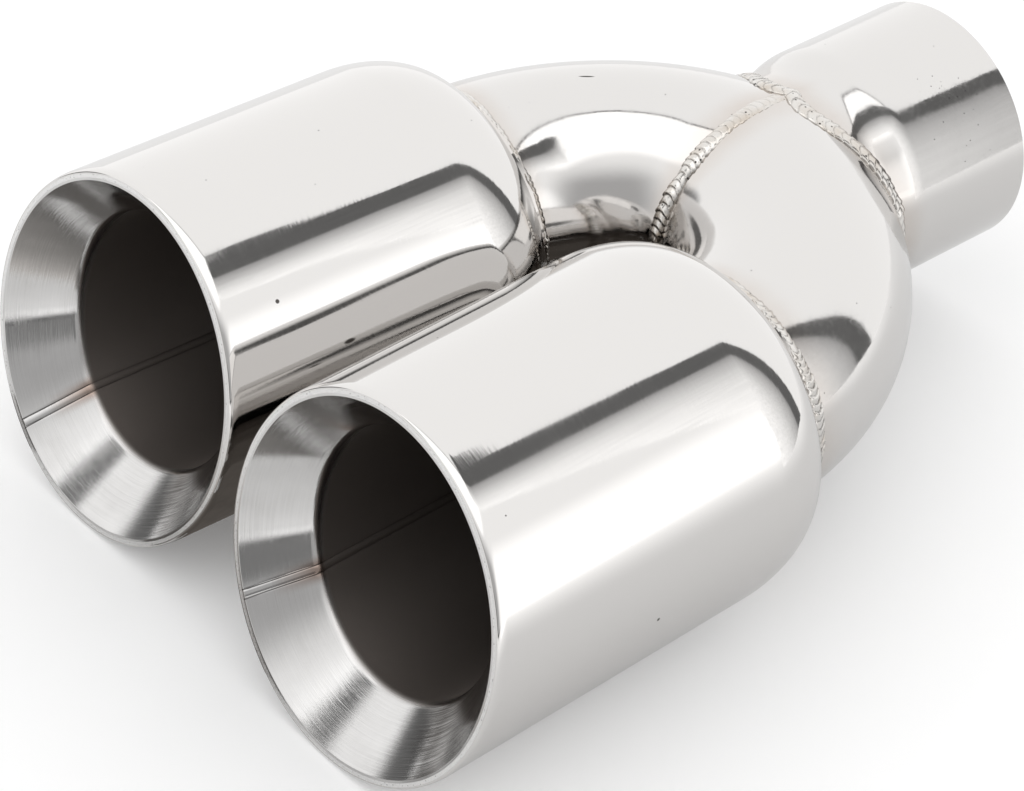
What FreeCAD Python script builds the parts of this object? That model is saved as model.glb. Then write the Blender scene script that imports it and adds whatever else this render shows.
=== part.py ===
import FreeCAD, Part
import math
import os

# Twin-outlet exhaust tip in welded stainless steel.
# One slip-on inlet feeds two mandrel-bent elbows, mitred to each other on the centre plane.
# Each elbow carries a double-walled tip: an outer shell spun in to a collar, and a flared liner.
# Millimetres and degrees. The inlet mouth is centred on the origin and opens towards +Y,
# the outlets face -Y, X runs across the tips and Z is up.

# Inlet tube: a socket that slips over the pipe, swaged down to a neck a step narrower than the elbows
pipe_diameter = 70.0
socket_clearance = 0.15
socket_depth = 43.0
swage_length = 10.0
inlet_neck_step = 1.25
inlet_wall = 1.2
swage_bend = 20.0
inlet_reach = 73.0

# Elbows: tube, bend, and the tilt that lifts the inlet above the tips
elbow_diameter = 70.0
elbow_wall = 1.2
bend_radius = 64.0
bend_angle = 66.5
elbow_tilt = 4.7
elbow_entry = 8.0

# Tips: spacing and splay of their axes, and the slash cut of their mouths
tip_spacing = 104.6
tip_splay = 1.8
left_tip_length = 119.7
right_tip_length = 124.4
mouth_slant = 12.2

# Outer shells
shell_diameter = 101.6
shell_wall = 1.5
shoulder_length = 23.2
collar_length = 3.5
collar_bend = 1.5
rim_rounding = 0.6

# Inner liners: a land against the shell, a flare, and a sleeve over the end of the elbow
liner_wall = 1.2
rim_land = 1.2
rim_bend = 1.0
flare_depth = 14.6
throat_bend = 2.5
sleeve_clearance = 0.15
collar_clearance = 0.15

# Welds: the rim's ring, the fillet between collar and elbow, and the beads along both meeting lines
rim_weld_width = 1.0
rim_weld_depth = 0.8
neck_bead_lap = 0.6
neck_bead_leg = 3.4
neck_bead_root = 0.4
neck_bead_bulge = 0.7
mitre_bead_radius = 2.4
mitre_bead_root = 1.3
inlet_bead_radius = 2.6
inlet_bead_root = 0.6
inlet_bead_step = 5.0

# Sizes that follow from the ones above
elbow_radius = elbow_diameter / 2
elbow_bore = elbow_radius - elbow_wall
socket_bore = pipe_diameter / 2 + socket_clearance
neck_radius = elbow_radius - inlet_neck_step
neck_bore = neck_radius - inlet_wall
sleeve_bore = elbow_radius + sleeve_clearance
sleeve_radius = sleeve_bore + liner_wall
collar_bore = sleeve_radius + collar_clearance
collar_radius = collar_bore + shell_wall
shell_radius = shell_diameter / 2
shell_bore = shell_radius - shell_wall
mouth_radius = shell_bore - liner_wall
longest = 4 * (shell_diameter + inlet_reach)

Vector = FreeCAD.Vector
ORIGIN = Vector(0, 0, 0)
ALONG = Vector(0, 1, 0)
UP = Vector(0, 0, 1)


def save(shape, node):
    """Check one piece and write it as one file."""
    if not shape.isValid() or not shape.Solids:
        raise ValueError(node + " is not a valid solid")
    shape.exportStep("parts/" + node + ".step")


def rounded_path(corners, radii):
    """Lines through the corners, with an arc of the given radius at each inner corner."""
    edges = []
    start = corners[0]
    for index in range(1, len(corners) - 1):
        corner = corners[index]
        back = (corners[index - 1] - corner).normalize()
        ahead = (corners[index + 1] - corner).normalize()
        half_turn = (math.pi - back.getAngle(ahead)) / 2
        length = radii[index - 1] * math.tan(half_turn)
        bulge = radii[index - 1] * (1 / math.cos(half_turn) - 1)
        first = corner + back * length
        last = corner + ahead * length
        middle = corner + (back + ahead).normalize() * bulge
        edges.append(Part.LineSegment(start, first).toShape())
        edges.append(Part.Arc(first, middle, last).toShape())
        start = last
    edges.append(Part.LineSegment(start, corners[-1]).toShape())
    return edges


def revolved(edges):
    """A closed profile, x out from the axis and y along it, turned round the Y axis."""
    face = Part.Face(Part.Wire(Part.sortEdges(edges)[0]))
    return face.revolve(ORIGIN, ALONG, 360)


def sheet_of_revolution(outer_corners, outer_radii, inner_corners, inner_radii):
    """A wall between two rounded paths, closed at both ends and turned round the Y axis."""
    edges = rounded_path(outer_corners, outer_radii) + rounded_path(inner_corners, inner_radii)
    edges.append(Part.LineSegment(outer_corners[0], inner_corners[0]).toShape())
    edges.append(Part.LineSegment(outer_corners[-1], inner_corners[-1]).toShape())
    return revolved(edges)


def offset_path(corners, wall):
    """The corners of a path that runs a wall's thickness nearer the Y axis than this one."""
    moved = []
    for index, corner in enumerate(corners):
        sides = []
        if index > 0:
            sides.append(corner - corners[index - 1])
        if index < len(corners) - 1:
            sides.append(corners[index + 1] - corner)
        normals = [Vector(-side.y, side.x, 0).normalize() for side in sides]
        total = normals[0] if len(normals) == 1 else normals[0] + normals[1]
        moved.append(corner + total * (wall / total.dot(normals[0])))
    return moved


def tip_frame(side):
    """Where one tip's collar ends, the way its axis runs, and the way its elbow bends."""
    splay = math.radians(tip_splay)
    tilt = math.radians(elbow_tilt)
    bend = math.radians(bend_angle)
    axis = Vector(-side * math.sin(splay), math.cos(splay), 0)
    level = Vector(-side * math.cos(splay), -math.sin(splay), 0)
    inward = level * math.cos(tilt) + UP * math.sin(tilt)
    arc_end = axis * (bend_radius * math.sin(bend)) + inward * (bend_radius * (1 - math.cos(bend)))
    heading = axis * math.cos(bend) + inward * math.sin(bend)
    leg = (side * tip_spacing / 2 + arc_end.x) / -heading.x
    mitre_point = Vector(0, -inlet_reach, 0)
    collar_end = mitre_point - arc_end - heading * leg
    return collar_end, axis, inward, arc_end, heading, leg


def in_place(shape, side):
    """Move a piece made round the Y axis, with its collar end at the origin, to its tip."""
    collar_end = tip_frame(side)[0]
    turn = FreeCAD.Rotation(UP, side * tip_splay)
    shape.Placement = FreeCAD.Placement(collar_end, turn).multiply(shape.Placement)
    return shape


def mouth_centre(side):
    collar_end, axis = tip_frame(side)[:2]
    length = right_tip_length if side > 0 else left_tip_length
    return collar_end - axis * length


def behind_mouth(side, depth):
    """Everything behind the mouth's slanted plane, set back by a depth."""
    half_space = Part.makeBox(longest, longest, longest, Vector(-longest / 2, depth, -longest / 2))
    slant = FreeCAD.Rotation(Vector(1, 0, 0), -mouth_slant)
    half_space.Placement = FreeCAD.Placement(mouth_centre(side), slant)
    return half_space


def shoulder_arc(half_width, half_length, centre):
    """The quarter ellipse that brings the shell in from its full width."""
    widest = centre + Vector(half_width, 0, 0)
    furthest = centre + Vector(0, half_length, 0)
    if half_length > half_width:
        ellipse = Part.Ellipse(furthest, widest, centre)
    else:
        ellipse = Part.Ellipse(widest, furthest, centre)
    return Part.ArcOfEllipse(ellipse, 0, math.pi / 2).toShape()


def outer_shell(side):
    """Straight barrel, elliptical shoulder and a short collar, cut off on the slant."""
    front = -longest / 2
    bend_centre = Vector(collar_radius + collar_bend, collar_bend - collar_length, 0)
    shoulder_end = bend_centre - Vector(0, collar_bend, 0)
    shoulder_centre = shoulder_end - Vector(0, shoulder_length, 0)
    edges = []
    for wall in (0, shell_wall):
        radius = shell_radius - wall
        barrel_end = Vector(radius, shoulder_centre.y, 0)
        edges.append(Part.LineSegment(Vector(radius, front, 0), barrel_end).toShape())
        edges.append(shoulder_arc(radius - shoulder_end.x, shoulder_length - wall, shoulder_centre))
        bend = collar_bend + wall
        start = bend_centre - Vector(0, bend, 0)
        middle = bend_centre - Vector(bend, bend, 0) * math.sqrt(0.5)
        end = bend_centre - Vector(bend, 0, 0)
        edges.append(Part.Arc(start, middle, end).toShape())
        edges.append(Part.LineSegment(end, Vector(end.x, 0, 0)).toShape())
    edges.append(Part.LineSegment(Vector(shell_bore, front, 0), Vector(shell_radius, front, 0)).toShape())
    edges.append(Part.LineSegment(Vector(collar_bore, 0, 0), Vector(collar_radius, 0, 0)).toShape())
    shell = in_place(revolved(edges), side).common(behind_mouth(side, 0))
    mouth = mouth_centre(side)
    mouth_edges = [edge for edge in shell.Edges if edge.CenterOfMass.distanceToPoint(mouth) < shell_wall]
    outer_edge = max(mouth_edges, key=lambda edge: edge.Length)
    return shell.makeFillet(rim_rounding, [outer_edge])


def inner_liner(side):
    """Land, flare and sleeve, formed parallel to the slanted mouth and cut square at the back."""
    length = right_tip_length if side > 0 else left_tip_length
    flare_end = flare_depth + throat_bend + liner_wall
    inner = [
        Vector(mouth_radius, 0, 0),
        Vector(mouth_radius, rim_land, 0),
        Vector(sleeve_bore, flare_depth, 0),
        Vector(sleeve_bore, flare_end, 0),
    ]
    outer = offset_path(inner, -liner_wall)
    outer_bends = [rim_bend + liner_wall, throat_bend]
    inner_bends = [rim_bend, throat_bend + liner_wall]
    flare = sheet_of_revolution(outer, outer_bends, inner, inner_bends)
    splay = math.radians(side * tip_splay)
    slant = math.radians(mouth_slant)
    lean = FreeCAD.Matrix()
    lean.A21 = -math.tan(splay)
    lean.A23 = math.tan(slant) / math.cos(splay)
    lean.A24 = -length
    flare = in_place(flare.transformGeometry(lean), side)
    tube = Part.makeCylinder(sleeve_radius, longest, Vector(0, -longest, 0), ALONG)
    hole = Part.makeCylinder(sleeve_bore, longest, Vector(0, -longest, 0), ALONG)
    setback = flare_end * math.cos(splay) * math.cos(slant)
    sleeve = in_place(tube.cut(hole), side).common(behind_mouth(side, setback))
    return flare.fuse(sleeve)


def rim_weld(side):
    """The ring of weld that joins the shell and the liner, ground flush with the mouth."""
    bead = Part.makeCylinder(shell_bore + rim_weld_width / 2, longest, Vector(0, -longest, 0), ALONG)
    core = Part.makeCylinder(shell_bore - rim_weld_width / 2, longest, Vector(0, -longest, 0), ALONG)
    ring = in_place(bead.cut(core), side)
    return ring.common(behind_mouth(side, 0)).cut(behind_mouth(side, rim_weld_depth))


def elbow_bar(side, radius):
    """A solid bar of the given radius along one elbow, running on past the mitre plane."""
    collar_end, axis, inward, arc_end, heading, leg = tip_frame(side)
    entry = Part.makeCylinder(radius, elbow_entry, collar_end - axis * elbow_entry, axis)
    disc = Part.Face(Part.Wire(Part.makeCircle(radius, collar_end, axis)))
    bend = disc.revolve(collar_end + inward * bend_radius, axis.cross(inward), bend_angle)
    run_out = Part.makeCylinder(radius, leg + elbow_diameter, collar_end + arc_end, heading)
    return entry.fuse([bend, run_out])


def half_space(side, overlap):
    """Everything on one side of the centre plane, and a little beyond it."""
    start = -overlap if side > 0 else overlap - longest
    return Part.makeBox(longest, longest, longest, Vector(start, -longest / 2, -longest / 2))


def elbow_round(side, radius):
    """A solid bar along one elbow, from its entry to the mitre plane."""
    return elbow_bar(side, radius).common(half_space(side, 0)).removeSplitter()


def elbow(side):
    """A bent tube, mitred on the centre plane and opened where the inlet meets it."""
    passage = Part.makeCylinder(neck_bore, inlet_reach, Vector(0, -inlet_reach, 0), ALONG)
    return elbow_round(side, elbow_radius).cut([elbow_round(side, elbow_bore), passage])


def inlet_outline(extra):
    """The inlet's outer profile, from neck through swage to socket, grown by an extra thickness."""
    socket_radius = socket_bore + inlet_wall
    outline = [
        Vector(neck_radius, -inlet_reach, 0),
        Vector(neck_radius, -socket_depth - swage_length, 0),
        Vector(socket_radius, -socket_depth, 0),
        Vector(socket_radius, 0, 0),
    ]
    return offset_path(outline, -extra)


def inlet_tube():
    """Socket, swage and neck, with the neck coped to sit on the elbows."""
    outer = inlet_outline(0)
    inner = inlet_outline(-inlet_wall)
    outer_bends = [swage_bend, swage_bend + inlet_wall]
    inner_bends = [swage_bend + inlet_wall, swage_bend]
    return sheet_of_revolution(outer, outer_bends, inner, inner_bends).cut(elbow_pair())


def inlet_round(extra):
    """The inlet tube as a solid bar, grown by an extra thickness."""
    outer = inlet_outline(extra)
    edges = rounded_path(outer, [swage_bend - extra, swage_bend + inlet_wall + extra])
    front = Vector(0, outer[0].y, 0)
    back = Vector(0, outer[-1].y, 0)
    edges.append(Part.LineSegment(outer[0], front).toShape())
    edges.append(Part.LineSegment(front, back).toShape())
    edges.append(Part.LineSegment(back, outer[-1]).toShape())
    return revolved(edges)


def elbow_pair():
    """Both elbows as solid bars."""
    return elbow_round(1, elbow_radius).fuse(elbow_round(-1, elbow_radius))


def inlet_bead():
    """The weld along the line where the inlet meets the elbows: one half swept, then mirrored."""
    sunk_elbow = elbow_bar(1, elbow_radius - inlet_bead_root)
    meeting = inlet_round(-inlet_bead_root).Shells[0].section(sunk_elbow)
    meeting = meeting.common(half_space(1, 2 * inlet_bead_radius))
    spots = [spot for edge in meeting.Edges for spot in edge.discretize(Distance=inlet_bead_step)]
    spots.sort(key=lambda spot: math.atan2(spot.z, spot.x))
    route = spots[:1]
    for spot in spots:
        if spot.distanceToPoint(route[-1]) > inlet_bead_step / 2:
            route.append(spot)
    curve = Part.BSplineCurve()
    curve.interpolate(Points=route)
    path = curve.toShape()
    section = Part.makeCircle(inlet_bead_radius, path.valueAt(0), path.tangentAt(0))
    half = Part.Wire(path).makePipeShell([Part.Wire(section)], True, False).common(half_space(1, 0))
    bead = half.fuse(half.mirror(ORIGIN, Vector(1, 0, 0)))
    return bead.cut([elbow_pair(), inlet_round(0)]).removeSplitter()


def mitre_bead(inlet_weld):
    """The weld round the mitre between the elbows, outside the inlet."""
    heading = tip_frame(1)[4]
    centre = Vector(0, -inlet_reach, 0)
    radius = elbow_radius - mitre_bead_root
    long_way = Vector(0, heading.y, heading.z).normalize()
    short_way = long_way.cross(Vector(1, 0, 0))
    crotch = centre + long_way * (radius / -heading.x)
    seam = Part.Ellipse(crotch, centre + short_way * radius, centre)
    section = Part.Wire(Part.makeCircle(mitre_bead_radius, crotch, short_way))
    bead = Part.Wire(seam.toShape()).makePipeShell([section], True, True)
    outside = bead.cut([elbow_pair(), inlet_round(0), inlet_weld])
    return max(outside.Solids, key=lambda solid: solid.Volume)


def neck_bead(side):
    """The fillet weld that closes the collar and the sleeve on to the elbow."""
    toe = Vector(collar_radius, -neck_bead_lap, 0)
    heel = Vector(elbow_radius - neck_bead_root, neck_bead_leg, 0)
    chord = heel - toe
    outward = Vector(chord.y, -chord.x, 0).normalize()
    crown = Part.Arc(toe, (toe + heel) * 0.5 + outward * neck_bead_bulge, heel)
    corners = [heel, Vector(heel.x, 0, 0), Vector(toe.x, 0, 0), toe]
    edges = [Part.LineSegment(start, end).toShape() for start, end in zip(corners, corners[1:])]
    ring = in_place(revolved([crown.toShape()] + edges), side)
    return ring.cut(elbow_round(side, elbow_radius))


os.makedirs("parts", exist_ok=True)

inlet_weld = inlet_bead()
save(inlet_tube(), "inlet_tube")
save(inlet_weld, "inlet_weld_bead")
save(mitre_bead(inlet_weld), "mitre_weld_bead")

for side, name in ((-1, "left"), (1, "right")):
    weld = rim_weld(side)
    save(elbow(side), name + "_elbow")
    save(outer_shell(side).cut(weld), name + "_outer_shell")
    save(inner_liner(side).cut(weld), name + "_inner_liner")
    save(weld, name + "_rim_weld")
    save(neck_bead(side), name + "_neck_weld_bead")
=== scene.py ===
import math

import bpy
import numpy as np
from mathutils import Matrix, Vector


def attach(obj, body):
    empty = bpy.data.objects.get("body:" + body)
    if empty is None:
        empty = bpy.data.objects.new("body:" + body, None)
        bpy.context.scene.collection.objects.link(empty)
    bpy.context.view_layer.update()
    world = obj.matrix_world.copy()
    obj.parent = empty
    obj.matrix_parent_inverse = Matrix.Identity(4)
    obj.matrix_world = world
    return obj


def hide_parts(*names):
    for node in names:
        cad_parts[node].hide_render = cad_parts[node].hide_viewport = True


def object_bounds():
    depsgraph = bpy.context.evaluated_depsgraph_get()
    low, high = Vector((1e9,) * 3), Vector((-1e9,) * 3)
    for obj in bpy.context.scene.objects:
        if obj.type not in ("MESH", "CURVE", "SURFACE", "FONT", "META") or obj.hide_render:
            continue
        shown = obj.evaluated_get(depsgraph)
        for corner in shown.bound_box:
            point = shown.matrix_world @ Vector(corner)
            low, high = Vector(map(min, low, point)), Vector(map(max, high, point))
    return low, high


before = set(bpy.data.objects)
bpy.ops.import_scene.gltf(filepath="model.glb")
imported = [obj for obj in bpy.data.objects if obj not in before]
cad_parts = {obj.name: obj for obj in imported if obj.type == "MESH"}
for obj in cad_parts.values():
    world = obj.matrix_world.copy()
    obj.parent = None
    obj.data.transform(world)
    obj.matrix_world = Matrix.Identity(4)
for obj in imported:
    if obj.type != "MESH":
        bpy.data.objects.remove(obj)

cad_low, cad_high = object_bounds()

# Outer shells
# Two barrels of welded stainless tube, spun in at the back to a shoulder and a short collar,
# cut off on a slant in front, the rim rounded over and the whole polished to a mirror.
shell_radius = 50.8
shell_wall = 1.5
shoulder_length = 23.2
collar_radius = 38.0
collar_length = 3.5
collar_bend = 1.5
lip_drop = 0.75
lip_length = 2.6
rim_weld_half_width = 0.5
rim_weld_depth = 0.8
tip_spacing = 104.6
tip_splay = math.radians(1.8)
mouth_slant = math.radians(12.2)
tip_lengths = {-1: 119.7, 1: 124.4}
bend_radius = 64.0
bend_angle = math.radians(66.5)
elbow_tilt = math.radians(4.7)
inlet_reach = 73.0
side_names = {-1: "left", 1: "right"}


def linear(hex_colour):
    """An sRGB hex colour as linear light: c/12.92 below 0.04045, else ((c+0.055)/1.055)^2.4."""
    c = np.array([int(hex_colour[i:i + 2], 16) for i in (1, 3, 5)]) / 255
    c = np.where(c <= 0.04045, c / 12.92, ((c + 0.055) / 1.055) ** 2.4)
    return (*c.tolist(), 1.0)


def feed(tree, source, socket):
    """Link an output, or the first output of a node, to a socket."""
    tree.links.new(getattr(source, "outputs", [source])[0], socket)


def add_node(tree, kind, values=(), links=(), **settings):
    """One shader node with its settings, the values of its sockets and what feeds them."""
    made = tree.nodes.new("ShaderNode" + kind)
    for name, value in settings.items():
        setattr(made, name, value)
    for socket, value in dict(values).items():
        made.inputs[socket].default_value = value
    for socket, source in dict(links).items():
        feed(tree, source, made.inputs[socket])
    return made


def span(low, high, at_low=0.0, at_high=1.0):
    """The values for a range mapped on to another: what the low and the high value become."""
    return {"From Min": low, "From Max": high, "To Min": at_low, "To Max": at_high}


def new_metal(name):
    """A bare metal's material, its node tree, its shader and the place of each point in it."""
    metal = bpy.data.materials.new(name)
    metal.use_nodes = True
    shader = metal.node_tree.nodes["Principled BSDF"]
    shader.inputs["Metallic"].default_value = 1.0
    place = add_node(metal.node_tree, "TexCoord").outputs["Object"]
    return metal, metal.node_tree, shader, place


def surface(tree, shader, colour, roughness, normal):
    """What a metal's surface shows: its colour, roughness and relief, led into the shader."""
    for socket, source in (("Base Color", colour), ("Roughness", roughness), ("Normal", normal)):
        feed(tree, source, shader.inputs[socket])


def scratch(tree, place, at, turn, length, width):
    """1 inside a thin oval mark, sizes in mm, turned by so many degrees about Z; 0 outside."""
    inside = add_node(tree, "Mapping", {"Location": at, "Rotation": (0, 0, math.radians(turn)),
                                        "Scale": (length / 2000, width / 2000, length / 2000)},
                      {"Vector": place}, vector_type="TEXTURE")
    off = add_node(tree, "VectorMath", links={0: inside}, operation="LENGTH").outputs["Value"]
    return add_node(tree, "MapRange", span(0.7, 1.1, 1.0, 0.0), {"Value": off})


def pits(tree, place, cell, solid, gone, bar=0.0, bars=()):
    """1 inside round pits and 0 outside: one in each cell of so many mm whose lot beats a bar.

    A pit fades between two radii, given in cells. bars feeds a bar that changes from place to place.
    """
    cells = add_node(tree, "TexVoronoi", {"Scale": 1000 / cell}, {"Vector": place})
    spot = add_node(tree, "MapRange", span(solid, gone, 1.0, 0.0), {"Value": cells.outputs["Distance"]})
    lot = add_node(tree, "SeparateColor", links={"Color": cells.outputs["Color"]})
    chosen = add_node(tree, "Math", {1: bar}, {0: lot, **dict(bars)}, operation="GREATER_THAN")
    return add_node(tree, "Math", links={0: spot, 1: chosen}, operation="MULTIPLY")


def tip_place(side):
    """A tip's collar end, and its unit vectors: across, along (to the inlet), up, into the bend, past it."""
    turn = side * tip_splay
    across = np.array([math.cos(turn), math.sin(turn), 0.0])
    along = np.array([-math.sin(turn), math.cos(turn), 0.0])
    up = np.array([0.0, 0.0, 1.0])
    inward = -side * across * math.cos(elbow_tilt) + up * math.sin(elbow_tilt)
    arc_end = bend_radius * (along * math.sin(bend_angle) + inward * (1 - math.cos(bend_angle)))
    heading = along * math.cos(bend_angle) + inward * math.sin(bend_angle)
    leg = (side * tip_spacing / 2 + arc_end[0]) / -heading[0]
    collar_end = np.array([0.0, -inlet_reach, 0.0]) - arc_end - heading * leg
    return collar_end, across, along, up, inward, heading


def turned(side, radius, along_axis, angle):
    """Points round a tip's axis and along it: c + r cos a x + y + r sin a z."""
    origin, across, along, up = tip_place(side)[:4]
    radius, along_axis, angle = np.broadcast_arrays(radius, along_axis, angle)
    return (origin + (radius * np.cos(angle))[..., None] * across
            + along_axis[..., None] * along + (radius * np.sin(angle))[..., None] * up)


def mouth_slope(side, angle):
    """How far the slanted mouth plane is set back, per unit of radius, at each angle round the tip."""
    slanted = np.sin(angle) * math.tan(mouth_slant) / math.cos(tip_splay)
    return slanted - np.cos(angle) * math.tan(side * tip_splay)


def eased(count):
    """Shares from 0 to 1 that crowd towards both ends: (1 - cos(pi t)) / 2."""
    return (1 - np.cos(np.linspace(0, np.pi, count))) / 2


def signed_volume(points, quads):
    """Six times the volume inside quads, below 0 where they face inwards: sum of a.(b x c) + a.(c x d)."""
    a, b, c, d = (points[quads[:, k]] for k in range(4))
    return np.einsum("ij,ij->", a, np.cross(b, c)) + np.einsum("ij,ij->", a, np.cross(c, d))


def new_piece(name, points, faces, marks=(), sharp_degrees=35):
    """A smooth object from points in mm and their faces, with the numbers in marks kept at the points."""
    mesh = bpy.data.meshes.new(name)
    mesh.from_pydata(points * 0.001, [], faces)
    for mark, values in dict(marks).items():
        layer = mesh.attributes.new(mark, "FLOAT", "POINT")
        layer.data.foreach_set("value", values.ravel().astype(np.float32))
    mesh.shade_smooth()
    mesh.set_sharp_from_angle(angle=math.radians(sharp_degrees))
    piece = bpy.data.objects.new(name, mesh)
    bpy.context.scene.collection.objects.link(piece)
    return piece


def closed_wall(name, points, sharp_degrees=35, marks=(), inner_rows=0):
    """A closed wall from a grid of points in mm that wraps both ways, its arc lengths as UV in mm.

    marks are numbers kept at each point; the last inner_rows rows take the second material slot.
    """
    rows, columns = points.shape[:2]
    index = np.arange(rows * columns).reshape(rows, columns)
    below, beside = np.roll(index, -1, 0), np.roll(index, -1, 1)
    quads = np.stack([index, beside, np.roll(below, -1, 1), below], -1).reshape(-1, 4)
    down = np.linalg.norm(np.roll(points, -1, 0) - points, axis=2).cumsum(0)
    down = np.vstack([np.zeros((1, columns)), down])
    around = np.linalg.norm(np.roll(points, -1, 1) - points, axis=2).mean(0).cumsum()
    around = np.concatenate([[0], around])
    row, column = np.indices((rows, columns))
    corner_rows = np.stack([row, row, row + 1, row + 1], -1).reshape(-1, 4)
    corner_columns = np.stack([column, column + 1, column + 1, column], -1).reshape(-1, 4)
    uv = np.stack([around[corner_columns], down[corner_rows, corner_columns % columns]], -1)
    flat = points.reshape(-1, 3)
    if signed_volume(flat, quads) < 0:
        quads, uv = quads[:, ::-1], uv[:, ::-1]
    kept = {mark: np.broadcast_to(values, (rows, columns)) for mark, values in dict(marks).items()}
    piece = new_piece(name, flat, quads, kept, sharp_degrees)
    piece.data.uv_layers.new(name="wall_mm").data.foreach_set("uv", uv.ravel().astype(np.float32))
    inner = np.repeat(np.arange(rows) >= rows - inner_rows, columns)
    piece.data.polygons.foreach_set("material_index", inner.astype(np.int32))
    return piece


def between(start, end, count):
    """Rows of (radius, along) from one row to another, their ends left out."""
    share = eased(count + 2)[1:-1, None, None]
    return start + (end - start) * share


def quarter(centre_radius, centre_along, half_width, half_length, start, stop, steps):
    """Rows along an ellipse's arc: centre + (a sin t, b cos t)."""
    t = np.linspace(start, stop, steps)
    return np.stack([centre_radius + half_width * np.sin(t), centre_along + half_length * np.cos(t)], -1)


shell_columns = 240
shell_angles = np.linspace(0, 2 * np.pi, shell_columns, endpoint=False)


def every_column(rows, columns):
    """A profile that is the same all round: (rows, 2) as (rows, columns, 2)."""
    return np.repeat(np.atleast_2d(rows)[:, None, :], columns, axis=1)


def shell_points(side):
    """A shell's section, row by row from the collar along the outside to the rim and back inside."""
    slope = mouth_slope(side, shell_angles)
    length = tip_lengths[side]
    bend_at = collar_radius + collar_bend
    bend_along = collar_bend - collar_length
    shoulder_along = -collar_length - shoulder_length
    inner_radius = shell_radius - shell_wall
    groove_radius = inner_radius + rim_weld_half_width
    set_back = rim_weld_depth / math.cos(mouth_slant)
    inner_bend = collar_bend + shell_wall
    inner_shoulder = shoulder_length - shell_wall

    def at_mouth(radius, depth):
        return np.stack([np.full(shell_columns, radius), -length + slope * radius + depth], -1)

    outside = np.vstack([
        [[collar_radius, 0.0], [collar_radius, -0.4], [collar_radius, bend_along + 0.3]],
        quarter(bend_at, bend_along, -collar_bend, -collar_bend, np.pi / 2, 0, 10),
        quarter(bend_at, shoulder_along, shell_radius - bend_at, shoulder_length, 0, np.pi / 2, 60)[1:],
    ])
    lip = np.linspace(0, np.pi / 2, 12)
    rim = np.stack([at_mouth(shell_radius - lip_drop * (1 - math.cos(t)), lip_length * (1 - math.sin(t)))
                    for t in lip])
    outside = every_column(outside, shell_columns)
    inside = every_column(np.vstack([
        quarter(bend_at, shoulder_along, inner_radius - bend_at, inner_shoulder, np.pi / 2, 0, 24),
        quarter(bend_at, bend_along, -inner_bend, -inner_bend, 0, np.pi / 2, 6)[1:],
        [[collar_radius - shell_wall, 0.0]],
    ]), shell_columns)
    groove = np.stack([at_mouth(groove_radius, 0.0), at_mouth(groove_radius, set_back),
                       at_mouth(inner_radius, set_back)])
    bore = between(groove[-1], inside[0], 8)
    section = np.concatenate([outside, between(outside[-1], rim[0], 24), rim, groove, bore, inside])
    points = turned(side, section[..., 0], section[..., 1], shell_angles[None, :])
    return points, len(bore) + len(inside), -section[..., 1]


mirror_steel, tree, shader, place = new_metal("mirror_polished_stainless")
wall_mm = add_node(tree, "UVMap", uv_map="wall_mm")
# soft clouds of polishing haze, 30 mm across
clouds = add_node(tree, "TexNoise", {"Scale": 1000 / 30, "Detail": 4.0}, {"Vector": place})
# lines left round the tube by the polishing wheel, drawn 0.7 mm apart so that they show
round_lines = add_node(tree, "Mapping", {"Scale": (1 / 18, 1 / 0.7, 1)}, {"Vector": wall_mm})
lines = add_node(tree, "TexNoise", {"Scale": 1.0, "Detail": 3.0, "Roughness": 0.6}, {"Vector": round_lines})
cloud_share = add_node(tree, "MapRange", span(0.35, 0.7, 0.025, 0.07), {"Value": clouds})
line_share = add_node(tree, "MapRange", span(0.4, 0.75, 0.0, 0.05), {"Value": lines})
roughness = add_node(tree, "Math", links={0: cloud_share, 1: line_share}, operation="ADD")
# one cell of 5 mm in ten holds a pit or a speck of grit, up to half a millimetre wide
pit = pits(tree, place, 5, 0.03, 0.055, 0.9)
# a few deeper nicks and a scratch from handling: place, turn, length and width
for nick in (((-0.0162, -0.2299, 0.0283), 0, 1.3, 1.3), ((0.1048, -0.2031, -0.0107), 0, 1.1, 1.1),
             ((0.0861, -0.1893, 0.0331), 0, 0.9, 0.9), ((-0.0070, -0.2130, 0.0125), 88, 4.2, 0.5)):
    pit = add_node(tree, "Math", links={0: pit, 1: scratch(tree, place, *nick)}, operation="MAXIMUM")
# straw heat tint within 9 mm of the weld at the collar
from_weld = add_node(tree, "Attribute", attribute_name="weld_mm").outputs["Fac"]
near_weld = add_node(tree, "MapRange", span(1.0, 9.0, 0.2, 0.0),
                     {"Value": from_weld}, interpolation_type="SMOOTHSTEP")
warm = add_node(tree, "Math", links={0: near_weld, 1: clouds}, operation="MULTIPLY")
tinted = add_node(tree, "Mix", {6: linear("#CFCDCB"), 7: linear("#A58565")}, {0: warm}, data_type="RGBA")
pitted = add_node(tree, "Mix", {7: linear("#4B4845")}, {0: pit, 6: tinted.outputs[2]}, data_type="RGBA")
# the sheet is slightly uneven, a few hundredths of a millimetre over 24 mm
waves = add_node(tree, "TexNoise", {"Scale": 1000 / 24, "Detail": 1.0}, {"Vector": place})
wavy = add_node(tree, "Bump", {"Strength": 1.0, "Distance": 0.00005}, {"Height": waves})
lined = add_node(tree, "Bump", {"Strength": 0.5, "Distance": 0.000008}, {"Height": lines, "Normal": wavy})
surface(tree, shader, pitted.outputs[2], roughness, lined)

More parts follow.
